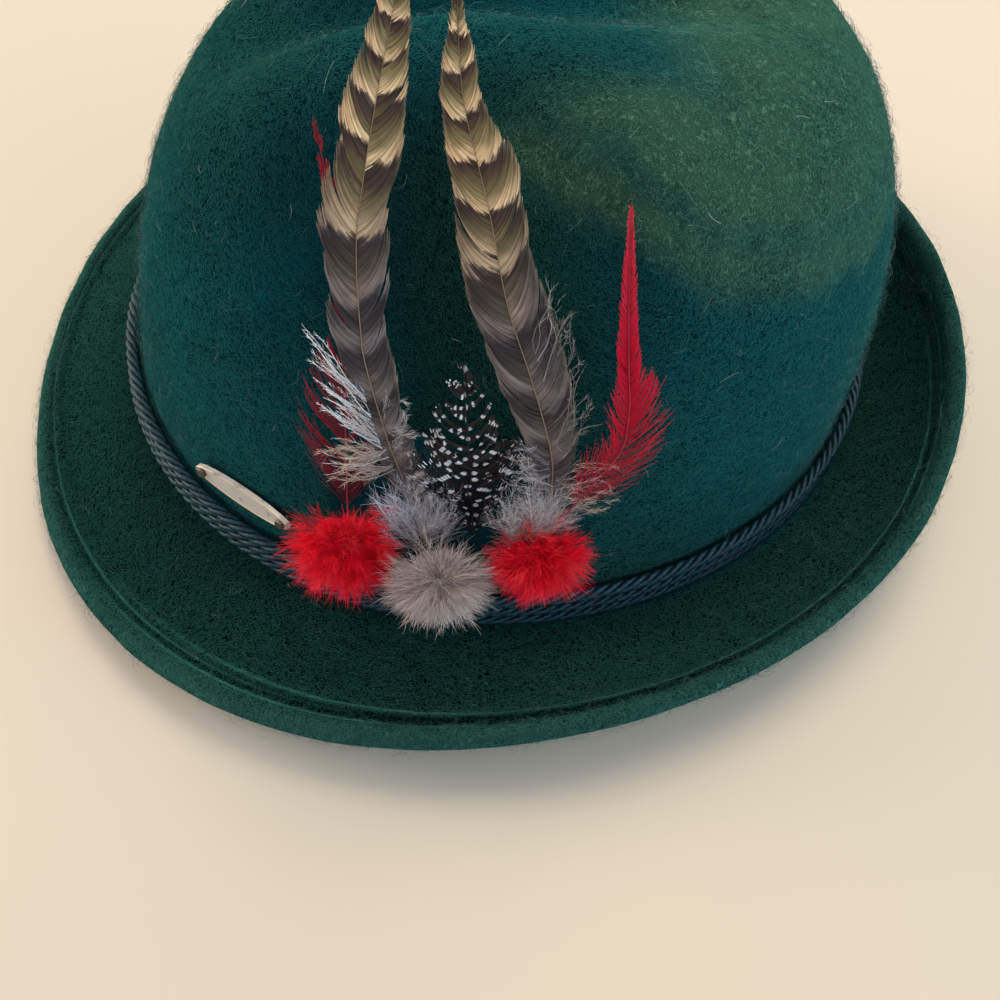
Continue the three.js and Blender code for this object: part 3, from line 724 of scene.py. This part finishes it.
def makeBadge():
    plateMetal = metalMaterial("paleMetal", (0.74, 0.69, 0.58), (0.4, 0.34, 0.26), 0.34, 0.35)
    rimMetal = metalMaterial("goldenRim", (0.75, 0.6, 0.36), (0.3, 0.22, 0.12), 0.3, 0.9)
    pinMetal = metalMaterial("darkMetal", (0.16, 0.14, 0.11), (0.05, 0.04, 0.03), 0.4, 0.9)
    middle, along, up, normal = plateFrame()
    turn = np.linspace(0, 2 * math.pi, badge["rimPoints"], endpoint=False)
    loop = middle + np.outer(np.cos(turn) * badge["rimHalfLength"], along)
    loop += np.outer(np.sin(turn) * badge["rimHalfWidth"], up)
    loop += normal * (badge["faceHeight"] + badge["lift"])
    mesh = curveMesh("badge_rim", [loop], badge["rimRadius"], 2, True)
    addPiece("badge_rim", mesh, rimMetal)
    dressNode("badge_plate", plateMetal)
    dressNode("badge_pin_front", pinMetal)
    dressNode("badge_pin_rear", pinMetal)


makeBadge()
print("badge made")


# Middle line and width of a feather's CAD blade, from quill to tip, where each ring has eight points
def bladeLine(node, count=120):
    points = nodePoints(node)
    points = points[np.argsort(points[:, 2])]
    starts = range(0, len(points) - 8, 2)
    middles = np.array([points[:1].mean(0)] + [points[i:i + 8].mean(0) for i in starts] + [points[-1]])
    widths = np.array([0.4 * mm] + [np.ptp(points[i:i + 8, 1]) for i in starts] + [0.3 * mm])
    travel = np.r_[0, np.cumsum(np.linalg.norm(np.diff(middles, axis=0), axis=1))]
    share = np.linspace(0, travel[-1], count)
    line = np.stack([np.interp(share, travel, middles[:, k]) for k in range(3)], 1)
    kernel = np.ones(9) / 9
    padded = np.pad(line, ((4, 4), (0, 0)), mode="reflect", reflect_type="odd")
    line = np.stack([np.convolve(padded[:, k], kernel, "valid") for k in range(3)], 1)
    width = np.interp(share, travel, widths)
    return line, np.convolve(np.pad(width, 4, mode="edge"), kernel, "valid"), travel[-1]


def alongLine(line, share):
    place = np.linspace(0, 1, len(line))
    return np.stack([np.interp(share, place, line[:, k]) for k in range(3)], -1)


def bladeFrame(line, share):
    middle = alongLine(line, share)
    after, before = alongLine(line, np.minimum(share + 0.01, 1)), alongLine(line, np.maximum(share - 0.01, 0))
    tangent = unit(after - before)
    side = unit(np.cross(tangent, np.broadcast_to((1.0, 0, 0), tangent.shape)))
    return middle, tangent, side, np.cross(side, tangent)


# Barbs on both sides of a shaft. rake is how far a barb leans to the tip and cup how far the vane bends
# back, both in half widths; tuft is how many barbs hold together, part how far the tufts stray from each
# other and fan how far their ends spread. Below looseUpTo the barbs are soft, and looseReach longer. Above
# sparseFrom the tufts whose chance lies under sparse are left out. left and right widen one side.
def makeVane(name, node, look):
    line, width, length = bladeLine(node)
    perSide, steps = look["barbs"], look["steps"]
    side = np.repeat([-1.0, 1.0], perSide)
    row = np.tile(np.arange(perSide), 2)
    origin = look["start"] + (look["end"] - look["start"]) * row / (perSide - 1)
    tuft = np.floor(row / look["tuft"] + side * 0.3 + 1) + (side > 0) * 1000
    names, which = np.unique(tuft, return_inverse=True)
    parted = rng.normal(size=(len(names), 4))[which]
    kept = (origin < look["sparseFrom"]) | (parted[:, 3] > look["sparse"])
    side, row, origin, parted = side[kept], row[kept], origin[kept], parted[kept]
    count = len(row)
    within = (row / look["tuft"] + side * 0.3) % 1 - 0.5
    loose = np.clip((look["looseUpTo"] - origin) / (look["looseUpTo"] - look["start"] + 1e-6), 0, 1) ** 0.7
    share = np.linspace(0, 1, len(width))
    half = np.interp(origin, share, width) / 2
    half = np.interp(np.minimum(origin + look["rake"] * half / length, 1), share, width) / 2
    half = half * (1 + rng.normal(0, 0.018, count) + parted[:, 0] * look["part"] * 0.4) * look["reach"]
    half *= np.where(side < 0, look["left"], look["right"]) ** np.minimum(1, 3 * loose)
    half += loose * look["looseReach"] * rng.uniform(0.5, 1, count)
    forward = half * (look["rake"] + parted[:, 1] * look["part"] - within * look["fan"])
    forward *= 1 - look["looseDrop"] * loose
    q = np.linspace(0, 1, steps)
    out = half[:, None] * (1 - (1 - q) ** look["sweep"])
    ahead = forward[:, None] * q ** look["bend"]
    middle, tangent, across, face = bladeFrame(line, origin)
    lines = middle[:, None] + across[:, None] * (out * side[:, None])[..., None]
    lines += tangent[:, None] * ahead[..., None]
    lift = -look["cup"] * out ** 2 / half.max() + look["crown"] * np.sin(q * math.pi)
    lift = lift + (parted[:, 2:3] * look["part"] + 0.1 * rng.normal(size=(count, 1))) * q * mm
    lines += face[:, None] * lift[..., None]
    sway = rng.normal(size=(count, 1, 3)) * q[None, :, None] ** 2
    sway += rng.normal(size=(count, 1, 3)) * (np.sin(q * 5) * 0.5 * q)[None, :, None]
    lines += sway * (look["stray"] + loose * look["looseStray"])[:, None, None]
    direction = unit(np.gradient(lines, axis=1))
    flat = unit(np.cross(direction, face[:, None]))
    flat = unit(flat + face[:, None] * rng.normal(0, look["twist"], (count, 1, 1)))
    widths = look["barbWidth"] * (1 - look["thin"] * q ** 2)[None] * (1 - 0.65 * loose)[:, None]
    mesh = ribbonMesh(name, lines, widths, flat, origin)
    bars = look["bars"]
    barAt = np.interp(origin[:, None] + ahead * look["barLean"] / length, bars, np.arange(len(bars)))
    barAt += look["barNoise"] * (rng.normal(size=(count, 1)) + 4 * parted[:, 3:4])
    fillUv(mesh, "vane", np.broadcast_to(q * side[:, None], (count, steps)), barAt)
    return mesh, line


def makeShaft(name, line, radius, material):
    share = np.linspace(0, 1, 40)
    middle, _, _, face = bladeFrame(line, share)
    mesh = curveMesh(name, [middle + face * radius * 1.2], radius, 1, False, 1 - 0.8 * share)
    return addPiece(name, mesh, material)


# Multiplies a colour by a value from low to high that goes by the chance tone of each strand
def toned(tree, colour, low, high):
    tone = addNode(tree, "ShaderNodeAttribute", attribute_name="tone").outputs["Fac"]
    shade = ramp(tree, tone, [(0.0, (low,) * 3), (1.0, (high,) * 3)])
    return mixColours(tree, 1.0, colour, shade, "MULTIPLY")


# Bars of a barred feather: each one starts cream, turns olive and ends dark, warm above and grey below
barTones = dict(
    warm=((0.0, (0.85, 0.58, 0.29)), (0.16, (0.75, 0.5, 0.23)), (0.34, (0.36, 0.25, 0.1)),
          (0.55, (0.18, 0.14, 0.045)), (0.74, (0.09, 0.052, 0.026)), (0.94, (0.04, 0.022, 0.014)),
          (1.0, (0.4, 0.26, 0.13))),
    cold=((0.0, (0.15, 0.12, 0.11)), (0.18, (0.2, 0.16, 0.14)), (0.44, (0.085, 0.068, 0.063)),
          (0.68, (0.034, 0.027, 0.028)), (0.86, (0.03, 0.024, 0.027)), (1.0, (0.12, 0.096, 0.09))),
    rim=(0.55, 0.42, 0.26), foot=(0.2, 0.17, 0.16),
)


def barredMaterial():
    material, tree, shader = newMaterial("barredFeather", **{"Roughness": 0.45, "Specular IOR Level": 0.25})
    across, bars = uvParts(tree, "vane")
    origin, _ = uvParts(tree, "strand")
    blotch = mathNode(tree, "MULTIPLY_ADD", noiseNode(tree, objectPlace(tree), 300.0), 0.3, -0.15)
    phase = mathNode(tree, "FRACT", mathNode(tree, "ADD", bars, blotch))
    tone = mixColours(tree, rescale(tree, origin, 0.5, 0.78),
                      ramp(tree, phase, barTones["cold"]), ramp(tree, phase, barTones["warm"]))
    rim = mathNode(tree, "MULTIPLY", rescale(tree, mathNode(tree, "ABSOLUTE", across), 0.75, 1.0), 0.3)
    tone = mixColours(tree, rim, tone, (*barTones["rim"], 1))
    foot = mathNode(tree, "MULTIPLY", rescale(tree, origin, 0.14, 0.36, 1.0, 0.0), 0.55)
    tone = mixColours(tree, foot, tone, (*barTones["foot"], 1))
    tree.links.new(toned(tree, tone, 0.55, 1.3), shader.inputs["Base Color"])
    return material


def hornMaterial(name, colour):
    material, tree, shader = newMaterial(name, **{"Roughness": 0.4, "Specular IOR Level": 0.3})
    streak = noiseNode(tree, objectPlace(tree), 300.0)
    darker = (*(0.6 * c for c in colour), 1)
    tree.links.new(mixColours(tree, streak, darker, (*colour, 1)), shader.inputs["Base Color"])
    return material


barredLook = dict(barbs=680, steps=8, start=0.1, end=0.99, reach=1.0, rake=2.0, sweep=1.7, bend=1.12, cup=0.3,
                  crown=0.35 * mm, tuft=42, part=0.13, fan=0.16, stray=0.09 * mm, twist=0.2,
                  barbWidth=0.3 * mm, thin=0.82, looseUpTo=0.3, looseReach=1.6 * mm, looseDrop=0.3,
                  looseStray=0.8 * mm, left=1.0, right=1.0, sparseFrom=2.0, sparse=0.0, barLean=0.68,
                  barNoise=0.03)
barredEnds = dict(  # where each bar starts, as a share of the feather's length
    front=dict(left=0.78, bars=[0.0, 0.12, 0.22, 0.31, 0.393, 0.475, 0.557, 0.653, 0.748, 0.823, 0.868, 0.91,
                                0.95, 0.99, 1.03]),
    rear=dict(bars=[0.0, 0.14, 0.295, 0.42, 0.558, 0.666, 0.731, 0.796, 0.856, 0.904, 0.948, 0.985, 1.02]),
)


def makeBarredFeathers():
    material = barredMaterial()
    horn = hornMaterial("paleShaft", (0.34, 0.24, 0.13))
    for end in ("front", "rear"):
        node = "barred_feather_" + end
        mesh, line = makeVane(node + "_vane", node, {**barredLook, **barredEnds[end]})
        addPiece(node + "_vane", mesh, material, [node])
        makeShaft(node + "_shaft", line, 0.16 * mm, horn)


hackleLook = dict(barbs=210, steps=9, start=0.08, end=0.985, reach=0.72, rake=2.4, sweep=1.35, bend=1.15,
                  cup=0.1, crown=0.2 * mm, tuft=16, part=0.14, fan=0.2, stray=0.14 * mm, twist=0.4,
                  barbWidth=0.24 * mm, thin=0.7, looseUpTo=0.55, looseReach=4.5 * mm, looseDrop=0.25,
                  looseStray=0.7 * mm, left=0.7, right=1.25, sparseFrom=2.0, sparse=0.0, barLean=0.0,
                  barNoise=0, bars=[0, 1])
frontHackle = dict(left=1.7, right=0.7, looseReach=6.5 * mm, tuft=5, part=0.3, sparseFrom=-1, sparse=-0.4)


def makeHackles():
    finish = dict(turn=0.8, oddness=0.3, roughness=0.45, sheen=0.0)
    scarlet = strandMaterial("redFeather", (0.42, 0, 0.015), (0.78, 0.005, 0.04), (0.85, 0.08, 0.1),
                             **finish)
    crimson = strandMaterial("crimsonFeather", (0.2, 0, 0.01), (0.42, 0.006, 0.03), (0.5, 0.05, 0.06),
                             **finish)
    horn = hornMaterial("redShaft", (0.5, 0.03, 0.05))
    for end in ("front", "rear"):
        node = "red_hackle_" + end
        look = dict(hackleLook, **frontHackle) if end == "front" else hackleLook
        mesh, line = makeVane(node + "_vane", node, look)
        addPiece(node + "_vane", mesh, crimson if end == "front" else scarlet, [node])
        makeShaft(node + "_shaft", line, 0.2 * mm, horn)


guineaLook = dict(barbs=260, steps=9, start=0.02, end=0.98, reach=1.1, rake=1.1, sweep=1.35, bend=1.15,
                  cup=0.15, crown=0.3 * mm, tuft=9, part=0.2, fan=0.5, stray=0.18 * mm, twist=0.2,
                  barbWidth=0.36 * mm, thin=0.35, looseUpTo=0.4, looseReach=3 * mm, looseDrop=0.1,
                  looseStray=0.3 * mm, left=1.0, right=1.0, sparseFrom=0.55, sparse=-0.3, barLean=0.95,
                  barNoise=0, bars=[0, 1])


# Round white spots in rows across the barbs, on black
def guineaMaterial():
    material, tree, shader = newMaterial("spottedFeather", **{"Roughness": 0.4, "Specular IOR Level": 0.3})
    vane = addNode(tree, "ShaderNodeUVMap", uv_map="vane").outputs[0]
    scaled = addNode(tree, "ShaderNodeVectorMath", {0: vane, 1: (3.9, 19.0, 1.0)}, operation="MULTIPLY")
    spots = addNode(tree, "ShaderNodeTexVoronoi", {
        "Vector": scaled.outputs[0], "Scale": 1.0, "Randomness": 0.5}, voronoi_dimensions="2D")
    white = rescale(tree, spots.outputs["Distance"], 0.2, 0.27, 1.0, 0.0)
    tone = mixColours(tree, white, (0.004, 0.004, 0.006, 1), (0.72, 0.72, 0.7, 1))
    tree.links.new(toned(tree, tone, 0.7, 1.1), shader.inputs["Base Color"])
    return material


def makeGuinea():
    mesh, line = makeVane("guinea_vane", "guinea_feather", guineaLook)
    addPiece("guinea_vane", mesh, guineaMaterial(), ["guinea_feather"])
    horn = hornMaterial("darkShaft", (0.02, 0.02, 0.02))
    makeShaft("guinea_shaft", line, 0.2 * mm, horn)


makeBarredFeathers()
makeHackles()
makeGuinea()
print("feathers made")


# Soft plumes: each has a thin curved spine from start to end and fine hairs all along it
def plumeMesh(name, start, end, look):
    count, hairs, steps = len(start), look["hairs"], look["steps"]
    q = np.linspace(0, 1, steps)[None, :, None]
    length = np.linalg.norm(end - start, axis=1)[:, None, None]
    bow = randomDirections(count)[:, None] * length * look["bow"]
    second = randomDirections(count)[:, None] * length * look["bow"] * 0.5
    spines = start[:, None] * (1 - q) + end[:, None] * q
    spines += bow * np.sin(q * math.pi) + second * np.sin(q * 2 * math.pi)
    which = np.repeat(np.arange(count), hairs)
    at = rng.uniform(look["bare"], 1, len(which))
    place = at * (steps - 1)
    low = np.minimum(place.astype(int), steps - 2)
    share = (place - low)[:, None]
    root = spines[which, low] * (1 - share) + spines[which, low + 1] * share
    tangent = unit(spines[which, low + 1] - spines[which, low])
    aside = unit(np.cross(tangent, randomDirections(len(which))))
    hairLength = look["hairLength"] * rng.uniform(0.6, 1.2, (len(which), 1, 1))
    hairLength *= 1 - 0.55 * at[:, None, None]
    lines = root[:, None] + hairLength * q * (tangent * look["hairRake"] + aside)[:, None]
    lines += tangent[:, None] * hairLength * q ** 2 * 0.5
    lines += rng.normal(size=(len(which), 1, 3)) * hairLength * look["curl"] * np.sin(q * 4) * q
    everything = np.concatenate([spines, lines])
    hairAlong = at[:, None] + (1 - at[:, None]) * 0.6 * q[..., 0]
    along = np.concatenate([np.broadcast_to(q[..., 0], (count, steps)), hairAlong])
    sides = unit(np.cross(np.gradient(everything, axis=1), randomDirections(len(everything))[:, None]))
    taper = 1 - 0.7 * q[..., 0] ** 1.5
    widths = np.r_[np.full(count, look["spine"]), np.full(len(which), look["hair"])][:, None] * taper
    value = np.concatenate([rng.random(count), rng.random(count)[which]])
    return ribbonMesh(name, everything, widths, sides, value, along)


# Middle and half sizes of a ball's CAD solid
def ballShape(node):
    points = nodePoints(node)
    low, high = points.min(0), points.max(0)
    return (points.mean(0) + (low + high) / 2) / 2, (high - low) / 2


# Puts a bumpy core in a ball, so that nothing shows through it
def addCore(mesh, middle, half, size):
    work = bmesh.new()
    work.from_mesh(mesh)
    core = bmesh.ops.create_icosphere(work, subdivisions=3, radius=1.0)
    for vertex in core["verts"]:
        bumpy = size * (1 + 0.2 * noise.noise(vertex.co * 3))
        vertex.co = Vector(middle) + Vector(vertex.co[k] * half[k] * bumpy for k in range(3))
    work.to_mesh(mesh)
    work.free()


# Ball of plumes that burst from a root near its middle
def growBall(name, node, material, look):
    middle, half = ballShape(node)
    middle = middle + np.array(look["shift"]) * half
    count = look["plumes"]
    main = randomDirections(count)
    main[:, 0] = np.abs(main[:, 0]) * np.where(rng.random(count) < 0.85, 1, -0.4)
    main = unit(main + np.array(look["pull"]))
    start = middle + np.array(look["rootAt"]) * half + main * half * 0.1
    reach = rng.uniform(look["short"], look["long"], (count, 1)) * (1 + 0.2 * (rng.random((count, 1)) < 0.08))
    end = middle + main * half * look["stretch"] * reach
    mesh = plumeMesh(name, start, end, look)
    addCore(mesh, middle, half, look["core"])
    return addPiece(name, mesh, material, [node])


# Plumes that fan out from one root to places in a box, all measured in half sizes of the node
def growFan(name, node, material, look):
    middle, half = ballShape(node)
    count = look["plumes"]
    start = middle + (np.array(look["rootAt"]) + rng.normal(0, 0.15, (count, 3))) * half
    end = middle + rng.uniform(look["low"], look["high"], (count, 3)) * half
    return addPiece(name, plumeMesh(name, start, end, look), material, [node])


# Plumes rooted along a feather's shaft, on one side of it
def growWisps(name, node, material, look):
    line, _, _ = bladeLine(node)
    count = look["plumes"]
    origin = rng.uniform(*look["shares"], count)
    middle, tangent, across, face = bladeFrame(line, origin)
    start = middle + across * look["side"] * look["offShaft"] * mm
    start += face * rng.uniform(0, 0.8, (count, 1)) * mm
    out, ahead, lift = (rng.uniform(*look[key], (count, 1)) * mm for key in ("reach", "ahead", "lift"))
    end = start + across * look["side"] * out + tangent * ahead + face * lift
    return addPiece(name, plumeMesh(name, start, end, look), material)


# Balls: shift, rootAt and stretch are in half sizes of the CAD ball, and pull turns the plumes one way
redBall = dict(plumes=230, hairs=34, steps=6, rootAt=(-0.2, 0, 0), shift=(0, 0.12, 0.25),
               pull=(0.15, 0, 0.05), stretch=(1, 0.98, 1.35), short=0.7, long=1.1, bow=0.08, bare=0.3,
               hairLength=2.6 * mm, hairRake=2.1, curl=0.08, spine=0.12 * mm, hair=0.085 * mm, core=0.7)
rearShift = (0, -0.1, 0.35)
greyBall = dict(plumes=780, hairs=7, steps=6, rootAt=(0.3, 0.0, 0.3), shift=(0, -0.02, 0.56),
                pull=(0.15, 0, -0.02), stretch=(1, 1, 1.08), short=0.85, long=1.18, bow=0.06, bare=0.4,
                hairLength=2.2 * mm, hairRake=2.2, curl=0.07, spine=0.11 * mm, hair=0.075 * mm, core=0.66)
downFan = dict(plumes=70, hairs=30, steps=6, bow=0.1, bare=0.15, hairLength=3.2 * mm, hairRake=2.0,
               curl=0.13, spine=0.1 * mm, hair=0.06 * mm)
downFans = dict(
    front=dict(plumes=54, rootAt=(0.1, 1.1, -1.7), low=(-0.8, -0.1, -1.0), high=(0.6, 1.9, 0.9)),
    rear=dict(plumes=56, rootAt=(-0.2, -0.2, -1.1), low=(-0.8, -1.0, 0.0), high=(0.6, 1.0, 2.2), curl=0.22),
)
wisp = dict(plumes=16, hairs=26, steps=7, bow=0.1, bare=0.15, hairLength=1.3 * mm, hairRake=1.6, curl=0.15,
            spine=0.13 * mm, hair=0.07 * mm, lift=(-1, 2))
wisps = [  # shares of the shaft where they grow; offShaft, reach and ahead are in millimetres
    dict(name="white_wisps_front", node="barred_feather_front", tone="white", side=-1, offShaft=1.5,
         shares=(0.27, 0.41), reach=(4, 8), ahead=(9, 17), plumes=40, hairs=14, hairLength=0.8 * mm, bow=0.05,
         spine=0.24 * mm, hair=0.1 * mm),
    dict(name="tan_down_front", node="barred_feather_front", tone="tan", side=-1, offShaft=0.8,
         shares=(0.2, 0.28), reach=(7, 14), ahead=(-2, 4), plumes=24, curl=0.2, bow=0.2, spine=0.2 * mm,
         hair=0.09 * mm),
    dict(name="grey_down_front", node="barred_feather_front", tone="grey", side=1, offShaft=0.8,
         shares=(0.06, 0.36), reach=(1.5, 5), ahead=(1, 7), plumes=34, curl=0.3, bow=0.18),
    dict(name="grey_down_rear", node="barred_feather_rear", tone="grey", side=-1, offShaft=0.6,
         shares=(0.06, 0.3), reach=(4, 9), ahead=(1, 8), plumes=34, curl=0.3, bow=0.2),
    dict(name="tan_down_rear", node="barred_feather_rear", tone="tan", side=1, offShaft=0.6,
         shares=(0.08, 0.22), reach=(7, 14), ahead=(-2, 5), plumes=16, curl=0.25, bow=0.16),
    dict(name="brown_wisps_rear", node="barred_feather_rear", tone="brown", side=1, offShaft=2.0,
         shares=(0.26, 0.52), reach=(4, 8), ahead=(7, 18), plumes=30, hairs=16, hairLength=1.0 * mm, bow=0.14,
         spine=0.2 * mm, hair=0.08 * mm),
]


def makeFluff():
    red = strandMaterial("redFluff", (0.5, 0.0008, 0.01), (1.0, 0.012, 0.04), (1.0, 0.16, 0.12),
                         turn=0.55, sheen=0.0)
    grey = strandMaterial("greyFluff", (0.2, 0.155, 0.135), (0.56, 0.46, 0.4), (0.9, 0.74, 0.52),
                          oddness=0.8, sheen=0.16)
    soft = dict(oddness=0.4, roughness=0.6, sheen=0.1)
    mixed = dict(soft, oddness=0.5)
    tones = dict(
        white=strandMaterial("whiteDown", (0.55, 0.5, 0.46), (0.95, 0.92, 0.86), (0.6, 0.5, 0.4), **soft),
        silk=strandMaterial("silkDown", (0.42, 0.4, 0.41), (0.78, 0.76, 0.78), (0.6, 0.52, 0.44),
                            roughness=0.45, sheen=0.15),
        tan=strandMaterial("tanDown", (0.32, 0.26, 0.22), (0.62, 0.5, 0.36), (0.75, 0.7, 0.62), **mixed),
        grey=strandMaterial("greyDown", (0.36, 0.32, 0.3), (0.68, 0.62, 0.56), (0.35, 0.28, 0.24), **mixed),
        brown=strandMaterial("brownDown", (0.12, 0.1, 0.09), (0.34, 0.29, 0.25), (0.65, 0.6, 0.52), **soft),
    )
    growBall("red_fluff_front", "pompom_red_front", red, redBall)
    growBall("grey_fluff", "pompom_grey", grey, greyBall)
    growBall("red_fluff_rear", "pompom_red_rear", red, {**redBall, "shift": rearShift})
    growFan("pale_down_front", "down_front", tones["silk"], {**downFan, **downFans["front"]})
    growFan("pale_down_rear", "down_rear", tones["grey"], {**downFan, **downFans["rear"]})
    for look in wisps:
        growWisps(look["name"], look["node"], tones[look["tone"]], {**wisp, **look})


makeFluff()
dressNode("plume_backing", woolMaterial("backingFelt", wool["wall"], 0.6, 0.35 * mm))
print("fluff made")

triangles = {}
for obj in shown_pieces():
    obj.data.calc_loop_triangles()
    triangles[obj.name] = len(obj.data.loop_triangles)
print("triangles", sum(triangles.values()), triangles)
